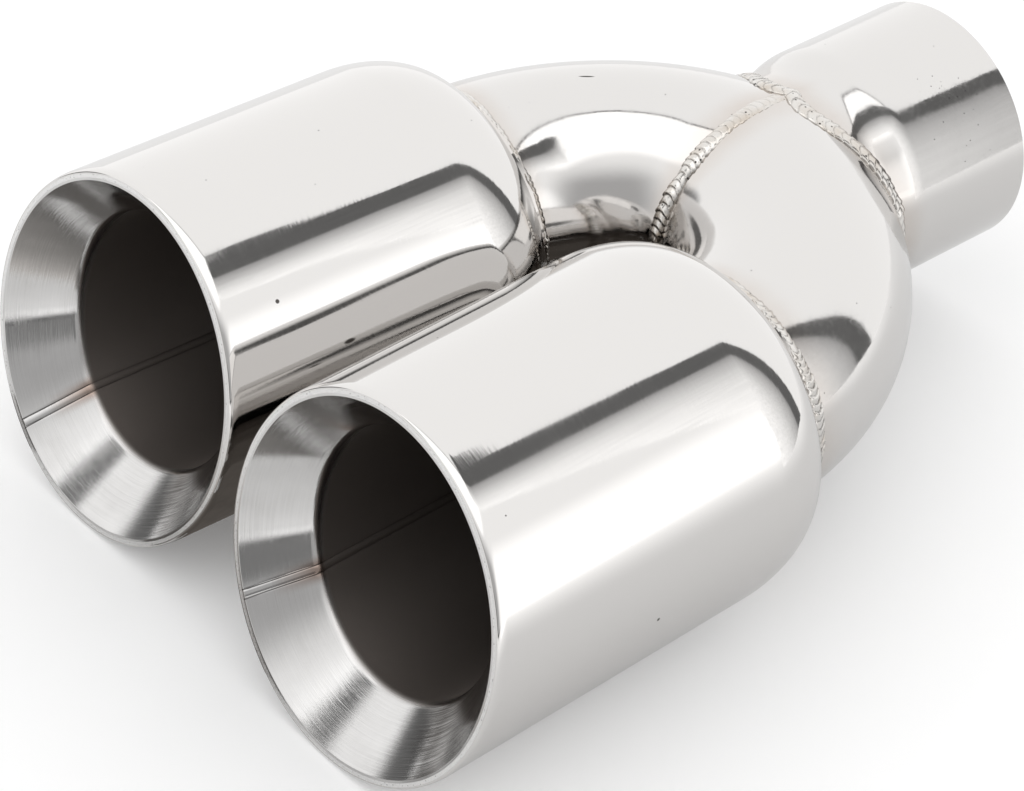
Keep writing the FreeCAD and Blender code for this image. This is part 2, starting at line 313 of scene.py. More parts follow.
# the tubes' insides keep the grey mill surface, with painted shade darkening it towards near black further in
# from the inlet's open end
mill_steel, tree, shader, place = new_metal("mill_finish_stainless")
grain = add_node(tree, "TexNoise", {"Scale": 1000 / 1.2, "Detail": 4.0}, {"Vector": place})
blotches = add_node(tree, "TexNoise", {"Scale": 1000 / 16, "Detail": 3.0}, {"Vector": place})
along_axis = add_node(tree, "SeparateXYZ", links={"Vector": place}).outputs["Y"]
# painted shade: none at the inlet's open end, full from 60 mm in along Y
inward = add_node(tree, "MapRange", span(-0.06, -0.005, 1.0, 0.0),
                  {"Value": along_axis}, interpolation_type="SMOOTHSTEP")
grey = add_node(tree, "Mix", {6: linear("#9C9893"), 7: linear("#7E7A75")}, {0: blotches}, data_type="RGBA")
shade = add_node(tree, "Mix", {7: linear("#3B3734")}, {0: inward, 6: grey.outputs[2]}, data_type="RGBA")
rough = add_node(tree, "MapRange", span(0.3, 0.7, 0.32, 0.5), {"Value": grain})
rolled = add_node(tree, "Bump", {"Strength": 0.4, "Distance": 0.00005}, {"Height": grain})
surface(tree, shader, shade.outputs[2], rough, rolled)

for side, name in side_names.items():
    points, inner_rows, from_collar = shell_points(side)
    shell = closed_wall(name + "_shell_polished", points, marks={"weld_mm": from_collar},
                        inner_rows=inner_rows)
    shell.data.materials.append(mirror_steel)
    shell.data.materials.append(mill_steel)
    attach(shell, "root")
    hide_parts(name + "_outer_shell")

# Inner liners
# Rolled and seam-welded stainless tube, flared out to the rim parallel to the slanted mouth,
# its sleeve slipped over the end of the elbow. Brushed inside by hand, dull further in.
liner_wall = 1.2
mouth_radius = shell_radius - shell_wall - liner_wall
sleeve_bore = 35.15
rim_land = 1.2
lip_round = 0.2
rim_bend = 1.0
flare_depth = 14.6
throat_bend = 2.5
flare_end = flare_depth + throat_bend + liner_wall
seam_half_width = 1.0
seam_groove = 0.12
seam_crown = 0.16
seam_undercut = 0.14
seam_places = {-1: math.radians(-129.5), 1: math.radians(-146.5)}
seam_ring = 44.0
# where and how wide the painted dark reflection lies round the flare
painted_reflection_place = math.radians(-38)
painted_reflection_half_width = math.radians(24)


def corner_arc(corner, back, ahead, radius, steps):
    """The arc of a radius that rounds a corner between two unit directions, for each column."""
    half_angle = np.arccos(np.clip((back * ahead).sum(-1), -1, 1)) / 2
    reach = (radius / np.tan(half_angle))[..., None]
    centre = corner + (back + ahead) / np.linalg.norm(back + ahead, axis=-1, keepdims=True) * (
        radius / np.sin(half_angle))[..., None]
    first, last = corner + back * reach - centre, corner + ahead * reach - centre
    sweep = np.pi - 2 * half_angle
    share = np.linspace(0, 1, steps)[:, None]
    weight_first = np.sin((1 - share) * sweep) / np.sin(sweep)
    weight_last = np.sin(share * sweep) / np.sin(sweep)
    return centre + weight_first[..., None] * first + weight_last[..., None] * last


def rounded_rows(corners, radii, steps):
    """A path with its inner corners rounded by arcs, as rows of (radius, along)."""
    corners = np.array(corners, float)
    rows = [corners[:1]]
    for index, radius in enumerate(radii, 1):
        back = corners[index - 1] - corners[index]
        ahead = corners[index + 1] - corners[index]
        arc = corner_arc(corners[index][None], back[None] / np.linalg.norm(back),
                         ahead[None] / np.linalg.norm(ahead), radius, steps)[:, 0]
        gap = np.linalg.norm(arc[0] - rows[-1][-1])
        rows.append(rows[-1][-1] + (arc[0] - rows[-1][-1]) * eased(max(3, int(gap / 1.5)) + 2)[1:-1, None])
        rows.append(arc)
    last = rows[-1][-1]
    rows.append(last + (corners[-1] - last) * eased(5)[1:, None])
    return np.vstack(rows)


def offset_corners(corners, wall):
    """The path's corners moved out square to their runs by a wall: + w (n1 + n2) / (1 + n1.n2)."""
    runs = np.diff(np.array(corners, float), axis=0)
    normals = np.stack([runs[:, 1], -runs[:, 0]], -1) / np.linalg.norm(runs, axis=1, keepdims=True)
    first, last = np.vstack([normals[:1], normals]), np.vstack([normals, normals[-1:]])
    return np.array(corners) + wall * (first + last) / (1 + (first * last).sum(1, keepdims=True))


def seam_height(across):
    """The seam's height across it: a low crown c cos(pi x / 2w) less an undercut u e^-(d/g)^2 each side."""
    crown = seam_crown * np.cos(np.pi * np.clip(across / seam_half_width, -1, 1) / 2)
    groove = seam_undercut * np.exp(-((np.abs(across) - seam_half_width - seam_groove) / seam_groove) ** 2)
    return crown - groove


def round_from(angles, middle):
    """Angles counted from a middle one, from -pi to pi."""
    return (angles - middle + np.pi) % (2 * np.pi) - np.pi


def liner_points(side):
    """A liner's section from the mouth in along the bore to the sleeve's end, and back outside.

    With it come each point's distance across the seam, the rows outside and how much painted dark reflection
    each column takes.
    """
    corners = [(mouth_radius, 0.0), (mouth_radius, rim_land),
               (sleeve_bore, flare_depth), (sleeve_bore, flare_end)]
    flare = [(mouth_radius + 2 * lip_round, 0.0), (mouth_radius, 0.0), corners[2], corners[3]]
    bore = rounded_rows(flare, [lip_round, throat_bend + liner_wall], 12)
    groove_radius = shell_radius - shell_wall - rim_weld_half_width
    bore = np.vstack([[[groove_radius, 0.0]], bore[bore[:, 0] <= mouth_radius + lip_round]])
    back = rounded_rows(offset_corners(corners, liner_wall), [rim_bend + liner_wall, throat_bend], 8)[::-1]
    set_back = rim_weld_depth / math.cos(mouth_slant)
    back = back[back[:, 1] > set_back + 0.05]
    lip = np.array([[shell_radius - shell_wall, set_back], [groove_radius, set_back]])
    # columns crowd within 3 mm of the seam
    beside_seam = np.array([0, 0.5, 0.8, 1, 1.1, 1.18, 1.3, 1.5, 2, 3]) / seam_ring
    spread = np.linspace(4.5 / seam_ring, 2 * np.pi - 4.5 / seam_ring, 210)
    angles = seam_places[side] + np.concatenate([beside_seam, spread, 2 * np.pi - beside_seam[:0:-1]])
    slope = mouth_slope(side, angles)

    def leaning(rows):
        rows = every_column(rows, len(angles))
        rows[..., 1] += -tip_lengths[side] + slope * rows[..., 0]
        return rows

    bore, back, lip = leaning(bore), leaning(back), leaning(lip)
    ends = every_column([[sleeve_bore, 0.0], [sleeve_bore + liner_wall, 0.0]], len(angles))
    bore = np.concatenate([bore, between(bore[-1], ends[0], 40), ends[:1]])
    across = round_from(angles, seam_places[side])
    # the seam stands proud of the bore, but was ground away over the first rows at the mouth
    bore[..., 0] -= seam_height(across * bore[..., 0])
    bore[:9, :, 0] += seam_height(across * bore[:9, :, 0]) * np.linspace(1, 0, 9)[:, None]
    section = np.concatenate([bore, ends[1:], between(ends[1], back[0], 6), back, lip])
    points = turned(side, section[..., 0], section[..., 1], angles[None, :])
    # painted dark reflection, strongest at the low right side of the flare
    painted_dark_reflection = np.exp(-(round_from(angles, painted_reflection_place) / painted_reflection_half_width) ** 4)
    return points, across * np.minimum(section[..., 0], seam_ring), len(section) - len(bore), painted_dark_reflection


def band(tree, value, middle, solid, gone, most=1.0):
    """The most within one distance of a middle value, fading to 0 at a second distance."""
    off = add_node(tree, "Math", {1: middle}, {0: value}, operation="SUBTRACT")
    off = add_node(tree, "Math", links={0: off}, operation="ABSOLUTE")
    return add_node(tree, "MapRange", span(solid, gone, most, 0.0), {"Value": off})


brushed_steel, tree, shader, place = new_metal("hand_brushed_stainless")
shader.inputs["Anisotropic"].default_value = 0.4
shader.inputs["Anisotropic Rotation"].default_value = 0.25
feed(tree, add_node(tree, "Tangent", direction_type="UV_MAP", uv_map="wall_mm"), shader.inputs["Tangent"])
wall_mm = add_node(tree, "UVMap", uv_map="wall_mm")
# abrasive strokes round the flare, 20 mm long, drawn 0.35 mm apart so that they show
stroke_place = add_node(tree, "Mapping", {"Scale": (1 / 20, 1 / 0.35, 1)}, {"Vector": wall_mm})
strokes = add_node(tree, "TexNoise", {"Scale": 1.0, "Detail": 4.0, "Roughness": 0.65},
                   {"Vector": stroke_place})
patches = add_node(tree, "TexNoise", {"Scale": 1000 / 12, "Detail": 3.0}, {"Vector": place})
worn = add_node(tree, "Math", links={0: strokes, 1: patches}, operation="MULTIPLY")
roughness = add_node(tree, "MapRange", span(0.14, 0.42, 0.05, 0.2), {"Value": worn})
# how far in from the mouth: bright flare, then the sleeve, dull and dark with oxide
depth_mm = add_node(tree, "SeparateXYZ", links={"Vector": wall_mm}).outputs["Y"]
sleeve = add_node(tree, "MapRange", span(20.4, 24.0), {"Value": depth_mm}, interpolation_type="SMOOTHSTEP")
# the seam: dark undercut lines, brown heat tint that grows towards the throat
seam_mm = add_node(tree, "Attribute", attribute_name="seam_mm").outputs["Fac"]
off_seam = add_node(tree, "Math", links={0: seam_mm}, operation="ABSOLUTE")
line = band(tree, off_seam, seam_half_width + seam_groove, 0.08, 0.24, 0.85)
heated = add_node(tree, "MapRange", span(1.0, 4.2, 0.75, 0.0),
                  {"Value": off_seam}, interpolation_type="SMOOTHSTEP")
inner_share = add_node(tree, "MapRange", span(8.0, 22.0), {"Value": depth_mm})
heated = add_node(tree, "Math", links={0: heated, 1: inner_share}, operation="MULTIPLY")
bright = add_node(tree, "Mix", {6: linear("#D2D1D0"), 7: linear("#A3A19F")}, {0: worn}, data_type="RGBA")
browned = add_node(tree, "Mix", {7: linear("#8A6A55")}, {0: heated, 6: bright.outputs[2]}, data_type="RGBA")
# a painted dark reflection on the low right side of the flare, with streaky edges along the strokes and
# darker further in
streaks = add_node(tree, "MapRange", span(0.35, 0.65, -0.35, 0.35), {"Value": strokes})
deeper = add_node(tree, "MapRange", span(0.0, 20.0, 0.1, 0.45), {"Value": depth_mm})
painted_reflection_darkness = add_node(tree, "Math", links={0: streaks, 1: deeper}, operation="ADD")
painted_reflection_darkness = add_node(tree, "Math", {1: 0.6}, {0: patches, 2: painted_reflection_darkness}, operation="MULTIPLY_ADD", use_clamp=True)
painted_dark_reflection = add_node(tree, "Attribute", attribute_name="painted_dark_reflection").outputs["Fac"]
painted_reflection_darkness = add_node(tree, "Math", links={0: painted_reflection_darkness, 1: painted_dark_reflection}, operation="MULTIPLY")
# the painted dark reflection laid over the brushed colour
with_painted_reflection = add_node(tree, "Mix", {7: linear("#4A4643")}, {0: painted_reflection_darkness, 6: browned.outputs[2]}, data_type="RGBA")
dulled = add_node(tree, "Mix", {7: linear("#7A736E")}, {0: sleeve, 6: with_painted_reflection.outputs[2]}, data_type="RGBA")
in_view = add_node(tree, "MapRange", span(0.0, 1.0, 1.0, 0.25), {"Value": sleeve})
line = add_node(tree, "Math", links={0: line, 1: in_view}, operation="MULTIPLY")
ruled = add_node(tree, "Mix", {7: linear("#2E2A28")}, {0: line, 6: dulled.outputs[2]}, data_type="RGBA")
rough_in = add_node(tree, "Mix", {3: 0.5}, {0: sleeve, 2: roughness}, data_type="FLOAT")
scored = add_node(tree, "Bump", {"Strength": 0.6, "Distance": 0.000035}, {"Height": strokes})
surface(tree, shader, ruled.outputs[2], rough_in, scored)

for side, name in side_names.items():
    points, across_seam, back_rows, painted_dark_reflection = liner_points(side)
    # no seam is drawn on the rows outside
    across_seam = np.where(np.arange(len(points))[:, None] < len(points) - back_rows, across_seam, 99)
    liner = closed_wall(name + "_liner_flared", points, marks={"seam_mm": across_seam, "painted_dark_reflection": painted_dark_reflection},
                        inner_rows=back_rows)
    liner.data.materials.append(brushed_steel)
    liner.data.materials.append(mill_steel)
    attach(liner, "root")
    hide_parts(name + "_inner_liner")

# Rim welds
# The fused edge between shell and liner, run round the mouth and ground flush with it
# by hand, which leaves a satin ring with specks and short scratches.
ground_steel, tree, shader, place = new_metal("ground_stainless")
# grinding grit, drawn 0.5 mm across so that it shows
grit = add_node(tree, "TexNoise", {"Scale": 1000 / 0.5, "Detail": 3.0, "Roughness": 0.7}, {"Vector": place})
cells = add_node(tree, "TexVoronoi", {"Scale": 1000 / 1.1}, {"Vector": place}).outputs["Distance"]
speck = add_node(tree, "MapRange", span(0.1, 0.22, 0.6, 0.0), {"Value": cells})
silver = add_node(tree, "Mix", {6: linear("#C6C5C4"), 7: linear("#F2F1F0")}, {0: grit}, data_type="RGBA")
specked = add_node(tree, "Mix", {7: linear("#5C5955")}, {0: speck, 6: silver.outputs[2]}, data_type="RGBA")
rough = add_node(tree, "MapRange", span(0.3, 0.7, 0.32, 0.5), {"Value": grit})
gritty = add_node(tree, "Bump", {"Strength": 0.6, "Distance": 0.00004}, {"Height": grit})
surface(tree, shader, specked.outputs[2], rough, gritty)

for side, name in side_names.items():
    middle = shell_radius - shell_wall
    inner_edge, outer_edge = middle - rim_weld_half_width, middle + rim_weld_half_width
    set_back = rim_weld_depth / math.cos(mouth_slant)
    radius = np.array([inner_edge, middle, outer_edge, outer_edge, inner_edge])[:, None]
    depth = np.array([0.0, 0.0, 0.0, set_back, set_back])[:, None]
    along = -tip_lengths[side] + mouth_slope(side, shell_angles)[None, :] * radius + depth
    ring = closed_wall(name + "_rim_weld_ground", turned(side, radius, along, shell_angles[None, :]))
    ring.data.materials.append(ground_steel)
    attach(ring, "root")
    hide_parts(name + "_rim_weld")

# Elbows
# Mandrel-bent stainless tube, each mitred to the other on the centre plane and opened
# where the inlet meets them. The bend starts where the collar ends.
elbow_radius = 35.0
elbow_wall = 1.2
elbow_entry = 8.0
elbow_bore_rows = 60
neck_bore = 32.55
elbow_angles = np.linspace(0, 2 * np.pi, 216, endpoint=False)


def elbow_surface(side, radius, travel, angle):
    """A tube on a straight, an arc and a straight: centre + r (cos a into the bend + sin a square to it)."""
    origin, _, along, _, inward, heading = tip_place(side)
    travel, angle = np.broadcast_arrays(travel, angle)
    turn = np.clip(travel / bend_radius, 0, bend_angle)[..., None]
    entry = np.minimum(travel, 0)[..., None]
    run_out = np.maximum(travel - bend_radius * bend_angle, 0)[..., None]
    centre = (origin + along * (bend_radius * np.sin(turn) + entry)
              + inward * bend_radius * (1 - np.cos(turn)) + heading * run_out)
    towards = inward * np.cos(turn) - along * np.sin(turn)
    square = np.cross(along, inward)
    out = towards * np.cos(angle)[..., None] + square * np.sin(angle)[..., None]
    return centre + radius * out, out


def halved(holds, low, high):
    """Two places a hair apart between low and high, by halving: a test holds at the first only."""
    for _ in range(24):
        middle = (low + high) / 2
        held = holds(middle)
        low, high = np.where(held, middle, low), np.where(held, high, middle)
    return low, high


def elbow_ends(side, radius, angle):
    """How far along each line of the tube the mitre plane or the inlet's bore cuts it off, by halving."""
    def kept(travel):
        point = elbow_surface(side, radius, travel, angle)[0]
        in_bore = (np.hypot(point[..., 0], point[..., 2]) < neck_bore) & (point[..., 1] > -inlet_reach)
        return (side * point[..., 0] > 0) & ~in_bore
    tries = np.linspace(0, 140, 281)[:, None] * np.ones(len(angle))
    first_cut = np.argmax(~kept(tries), axis=0)
    low, high = tries[first_cut - 1, 0], tries[first_cut, 0]
    return halved(kept, low, high)[0]


def elbow_points(side):
    """The tube's outside from entry to mitre, then its bore back, and how far each point is from a weld."""
    sheets, from_weld = [], []
    for radius, count in ((elbow_radius, 110), (elbow_radius - elbow_wall, elbow_bore_rows)):
        ends = elbow_ends(side, radius, elbow_angles)
        travel = -elbow_entry + (ends + elbow_entry) * np.linspace(0, 1, count)[:, None]
        sheets.append(elbow_surface(side, radius, travel, elbow_angles[None, :])[0])
        from_weld.append(np.clip(np.minimum(travel, ends - travel), 0, None))
    return np.concatenate([sheets[0], sheets[1][::-1]]), np.concatenate([from_weld[0], from_weld[1][::-1]])


tube_steel, tree, shader, place = new_metal("buffed_tube_stainless")
# buffed by hand after bending: cloudy haze 18 mm across, and fine scratches every way
clouds = add_node(tree, "TexNoise", {"Scale": 1000 / 18, "Detail": 5.0, "Roughness": 0.6}, {"Vector": place})
cloud_share = add_node(tree, "MapRange", span(0.35, 0.7, 0.04, 0.12), {"Value": clouds})
mottle = add_node(tree, "TexNoise", {"Scale": 1000 / 1.4, "Detail": 3.0, "Roughness": 0.7}, {"Vector": place})
mottle_share = add_node(tree, "MapRange", span(0.45, 0.75, 0.0, 0.06), {"Value": mottle})
roughness = add_node(tree, "Math", links={0: cloud_share, 1: mottle_share}, operation="ADD")
# corrosion pits crowd in one place near the open end and are rare elsewhere
pit_place = add_node(tree, "Mapping", {"Location": (-0.026, 0.018, -0.026)}, {"Vector": place})
pit_place = add_node(tree, "Mapping", {"Scale": (1000 / 22, 1000 / 13, 1000 / 22)}, {"Vector": pit_place})
crowd = add_node(tree, "TexGradient", links={"Vector": pit_place}, gradient_type="SPHERICAL").outputs["Fac"]
bar = add_node(tree, "MapRange", span(0.0, 0.5, 0.99, 0.4), {"Value": crowd})
pit = pits(tree, place, 1.7, 0.07, 0.13, bars={1: bar})
# one long scratch on top of the left elbow
scratched = scratch(tree, place, (-0.0433, -0.0996, 0.0316), 47, 4.6, 0.8)
pit = add_node(tree, "Math", links={0: pit, 1: scratched}, operation="MAXIMUM")
# straw and brown heat tint within 12 mm of a weld, patchy
from_weld = add_node(tree, "Attribute", attribute_name="weld_mm").outputs["Fac"]
near_weld = add_node(tree, "MapRange", span(1.0, 12.0, 0.36, 0.0),
                     {"Value": from_weld}, interpolation_type="SMOOTHSTEP")
warm = add_node(tree, "Math", links={0: near_weld, 1: clouds}, operation="MULTIPLY")
tinted = add_node(tree, "Mix", {6: linear("#CDCBC9"), 7: linear("#9F805F")}, {0: warm}, data_type="RGBA")
pitted = add_node(tree, "Mix", {7: linear("#3F3C39")}, {0: pit, 6: tinted.outputs[2]}, data_type="RGBA")
# the bend left the wall uneven by less than a tenth of a millimetre over 20 mm
waves = add_node(tree, "TexNoise", {"Scale": 1000 / 20, "Detail": 2.0}, {"Vector": place})
wavy = add_node(tree, "Bump", {"Strength": 1.0, "Distance": 0.00008}, {"Height": waves})
orange_peel = add_node(tree, "Bump", {"Strength": 0.5, "Distance": 0.000012},
                       {"Height": mottle, "Normal": wavy})
surface(tree, shader, pitted.outputs[2], roughness, orange_peel)

for side, name in side_names.items():
    points, from_weld = elbow_points(side)
    elbow = closed_wall(name + "_elbow_polished", points, marks={"weld_mm": from_weld},
                        inner_rows=elbow_bore_rows)
    elbow.data.materials.append(tube_steel)
    elbow.data.materials.append(mill_steel)
    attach(elbow, "root")
    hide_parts(name + "_elbow")

# Inlet
# A short tube, its free end swaged out to slip over the pipe and the other end coped
# to the two elbows.
socket_bore = 35.15
socket_depth = 43.0
swage_length = 10.0
swage_bend = 20.0
neck_radius = 33.75
inlet_wall = 1.2
inlet_bore_rows = 50
inlet_angles = np.linspace(0, 2 * np.pi, 288, endpoint=False)


def inlet_radius(along, inside):
    """The tube's radius at each place along it: neck, swage with a rounded corner at each end, socket."""
    shrink = inlet_wall if inside else 0.0
    corners = np.array([(neck_radius, -inlet_reach), (neck_radius, -socket_depth - swage_length),
                        (socket_bore + inlet_wall, -socket_depth), (socket_bore + inlet_wall, 0.0)])
    corners = offset_corners(corners, -shrink)
    rows = rounded_rows(corners, [swage_bend + shrink, swage_bend + inlet_wall - shrink], 24)
    return np.interp(along, rows[:, 1], rows[:, 0])


def elbow_depth(points):
    """How deep points lie in the nearer elbow: its radius less the distance to its centre line."""
    outside = -1e9
    depth = np.full(points.shape[:-1], outside)
    for side in side_names:
        origin, _, along, _, inward, heading = tip_place(side)
        from_centre = points - (origin + inward * bend_radius)
        square = np.cross(along, inward)
        in_plane = np.hypot(from_centre @ inward, from_centre @ along) - bend_radius
        arc_end = origin + bend_radius * (along * math.sin(bend_angle) + inward * (1 - math.cos(bend_angle)))
        tail = points - arc_end
        ahead = tail @ heading
        straight = np.linalg.norm(tail - ahead[..., None] * heading, axis=-1)
        distance = np.where(ahead > 0, straight, np.hypot(from_centre @ square, in_plane))
        own_half = side * points[..., 0] >= -1e-9
        depth = np.maximum(depth, np.where(own_half, elbow_radius - distance, outside))
    return depth


def inlet_line(along, angle, inside):
    """Points on the inlet tube: (r cos a, y, r sin a)."""
    radius = inlet_radius(along, inside)
    return np.stack([radius * np.cos(angle), along + 0 * angle, radius * np.sin(angle)], -1)


def cope(angle, inside):
    """Where the elbows' outside cuts each line of the inlet tube, by halving."""
    tries = np.linspace(-inlet_reach + 0.5, -20, 120)[:, None] * np.ones(len(angle))
    buried = elbow_depth(inlet_line(tries, angle[None, :], inside)) > 0
    last = len(tries) - 1 - np.argmax(buried[::-1], axis=0)
    low, high = tries[last, 0], tries[np.minimum(last + 1, len(tries) - 1), 0]
    return halved(lambda along: elbow_depth(inlet_line(along, angle, inside)) > 0, low, high)[1]


inlet_sheets, from_cope = [], []
for inside, count in ((False, 100), (True, inlet_bore_rows)):
    start = cope(inlet_angles, inside)
    along = start * (1 - np.linspace(0, 1, count))[:, None]
    inlet_sheets.append(inlet_line(along, inlet_angles[None, :], inside))
    from_cope.append(along - start)
inlet = closed_wall("inlet_polished", np.concatenate([inlet_sheets[0], inlet_sheets[1][::-1]]),
                    marks={"weld_mm": np.concatenate([from_cope[0], from_cope[1][::-1]])},
                    inner_rows=inlet_bore_rows)
inlet.data.materials.append(tube_steel)
inlet.data.materials.append(mill_steel)
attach(inlet, "root")
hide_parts("inlet_tube")

# Welds
# Beads of filler wire laid by hand, drop upon drop: along the inlet's cope, down the mitre
# and round each collar. Left as welded, with straw and brown heat tint in patches and painted shade in the
# creases.
bead_sharpness = 60


def smooth_noise(count, length, spacing, seed, closed):
    """A random line of values set every so many mm, joined by cosine curves."""
    rng = np.random.default_rng(seed)
    knots = max(4, int(round(length / spacing)))
    values = rng.uniform(-1, 1, knots + 1)
    if closed:
        values[-1] = values[0]
    at = np.linspace(0, knots, count, endpoint=not closed)
    low = np.minimum(at.astype(int), knots - 1)
    ease = (1 - np.cos(np.pi * (at - low))) / 2
    return values[low] * (1 - ease) + values[low + 1] * ease


def bead(name, toe_a, toe_b, outward, bulge, root, pitch, relief, seed, closed, boldness):
    """A weld bead between two toe lines: an arc across, raised by drops that overlap like coins.

    Each drop lifts the arc by sin(pi s^0.45) of its relief, s running from 0 to 1 over its pitch,
    and its edge is bowed back by 0.6 of a pitch at the crown.
    """
    middle = (toe_a + toe_b) / 2
    step = np.linalg.norm(np.diff(middle, axis=0), axis=1)
    travel = np.concatenate([[0], step.cumsum()])
    length = travel[-1] + (np.linalg.norm(middle[0] - middle[-1]) if closed else 0)
    ripples = max(1, int(round(length / pitch)))
    rng = np.random.default_rng(seed)
    wander = smooth_noise(len(travel), length, 3 * pitch, seed, closed)
    wide = 1 + 0.16 * smooth_noise(len(travel), length, 1.7 * pitch, seed + 1, closed)[:, None]
    round_bead = np.linspace(0, 2 * np.pi, 28, endpoint=False)
    crown = np.clip(np.sin(round_bead), 0, None)
    phase = ripples * travel[:, None] / length + 0.3 * wander[:, None] - 0.6 * crown[None, :] ** 2
    drop = np.sin(np.pi * np.mod(phase, 1.0) ** 0.45)
    number = np.mod(np.floor(phase).astype(int), ripples)
    drops = drop * rng.uniform(0.35, 1.3, ripples)[number]
    bold = np.broadcast_to(boldness, len(travel))[:, None]
    height = (bulge * crown + relief * drops * crown ** 0.4 * (crown > 0)) * wide * bold
    height = height - root * np.clip(-np.sin(round_bead), 0, None)
    fringe = 1 + 0.1 * (drops - 0.5) * (crown > 0)
    spread = (toe_a - middle)[:, None, :] * (np.cos(round_bead) * fringe * wide)[..., None]
    points = middle[:, None, :] + spread + outward[:, None, :] * height[..., None]
    # painted shade: darker in the hollows between drops, towards the crown
    painted_crease_shades = np.clip(1 - drop / 0.3, 0, 1) * crown ** 0.5 * bold
    if closed:
        piece = closed_wall(name, points, bead_sharpness, marks={"painted_crease_shade": painted_crease_shades})
    else:
        # both ends sink in and taper away over the last dozen rings
        share = np.minimum(np.arange(len(points)), np.arange(len(points))[::-1]) / 12
        taper = np.clip(share, 0.02, 1)[:, None, None] ** 0.5
        sunk = middle[:, None, :] - outward[:, None, :] * 0.6
        piece = open_bar(name, sunk + (points - sunk) * taper, painted_crease_shades)
    piece.data.materials.append(weld_steel)
    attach(piece, "root")
    return piece


def open_bar(name, points, painted_crease_shades):
    """A solid bar from rings of points, both ends closed by a fan to their centre."""
    rows, columns = points.shape[:2]
    flat = np.vstack([points.reshape(-1, 3), points[0].mean(0), points[-1].mean(0)])
    index = np.arange(rows * columns).reshape(rows, columns)
    beside = np.roll(index, -1, 1)
    quads = np.stack([index[:-1], beside[:-1], beside[1:], index[1:]], -1).reshape(-1, 4)
    first = np.stack([beside[0], index[0], np.full(columns, rows * columns)], -1)
    last = np.stack([index[-1], beside[-1], np.full(columns, rows * columns + 1)], -1)
    way = -1 if signed_volume(flat, quads) < 0 else 1
    faces = [*quads[:, ::way].tolist(), *first[:, ::way].tolist(), *last[:, ::way].tolist()]
    return new_piece(name, flat, faces, {"painted_crease_shade": np.concatenate([painted_crease_shades.ravel(), [0, 0]])}, bead_sharpness)


def unit(vectors):
    """Vectors divided by their lengths."""
    return vectors / np.linalg.norm(vectors, axis=-1, keepdims=True)


def elbow_normal(points):
    """The outward normal of the nearer elbow, from the slope of its depth."""
    step = 0.01
    slope = [elbow_depth(points + step * axis) - elbow_depth(points - step * axis) for axis in np.eye(3)]
    return -unit(np.stack(slope, -1))


def smoothed(vectors, reach):
    """Unit vectors averaged with their neighbours round a closed line."""
    window = sum(np.roll(vectors, shift, 0) for shift in range(-reach, reach + 1))
    return unit(window)


weld_steel, tree, shader, place = new_metal("weld_bead_stainless")
painted_crease_shade = add_node(tree, "Attribute", attribute_name="painted_crease_shade").outputs["Fac"]
# straw heat tint in patches 7 mm across, painted shade in the creases between drops, and pinholes in cells of
# 2 mm
patches = add_node(tree, "TexNoise", {"Scale": 1000 / 7, "Detail": 3.0}, {"Vector": place})
straw = add_node(tree, "MapRange", span(0.45, 0.7, 0.0, 0.45), {"Value": patches})
filler = add_node(tree, "Mix", {6: linear("#CDCAC6"), 7: linear("#AC9A84")}, {0: straw}, data_type="RGBA")
with_crease_shade = add_node(tree, "Mix", {7: linear("#3C3733")}, {0: painted_crease_shade, 6: filler.outputs[2]}, data_type="RGBA")
hole = pits(tree, place, 2.0, 0.12, 0.2, 0.55)
holed = add_node(tree, "Mix", {7: linear("#262220")}, {0: hole, 6: with_crease_shade.outputs[2]}, data_type="RGBA")
skin = add_node(tree, "TexNoise", {"Scale": 1000 / 0.8, "Detail": 3.0}, {"Vector": place})
rough = add_node(tree, "MapRange", span(0.3, 0.7, 0.1, 0.26), {"Value": skin})
uneven = add_node(tree, "Bump", {"Strength": 0.5, "Distance": 0.00005}, {"Height": skin})
surface(tree, shader, holed.outputs[2], rough, uneven)

# along the cope, melted flat in places
cope_leg = 2.6
cope_steps, cope_length = 1100, 235
cope_angles = np.linspace(0, 2 * np.pi, cope_steps, endpoint=False)
cope_line = inlet_line(cope(cope_angles, False), cope_angles, False)
inlet_out = np.stack([np.cos(cope_angles), np.zeros_like(cope_angles), np.sin(cope_angles)], -1)
elbow_out = smoothed(elbow_normal(cope_line + np.where(cope_line[:, :1] >= 0, 0.03, -0.03) * [1, 0, 0]), 12)
tangent = smoothed(np.roll(cope_line, -1, 0) - np.roll(cope_line, 1, 0), 8)
along_inlet = unit(np.cross(inlet_out, tangent))
along_inlet *= np.sign(along_inlet[:, 1:2])
along_elbow = unit(np.cross(elbow_out, tangent))
along_elbow *= np.sign((along_elbow * (inlet_out - [0, 1, 0])).sum(1, keepdims=True))
inlet_bead = bead("inlet_weld_bead_rippled", cope_line + cope_leg * along_inlet,
                  cope_line + cope_leg * along_elbow, unit(inlet_out + elbow_out),
                  bulge=0.9, root=1.8, pitch=2.9, relief=0.5, seed=3, closed=True,
                  boldness=0.72 + 0.34 * smooth_noise(cope_steps, cope_length, 11, 5, True))
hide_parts("inlet_weld_bead")

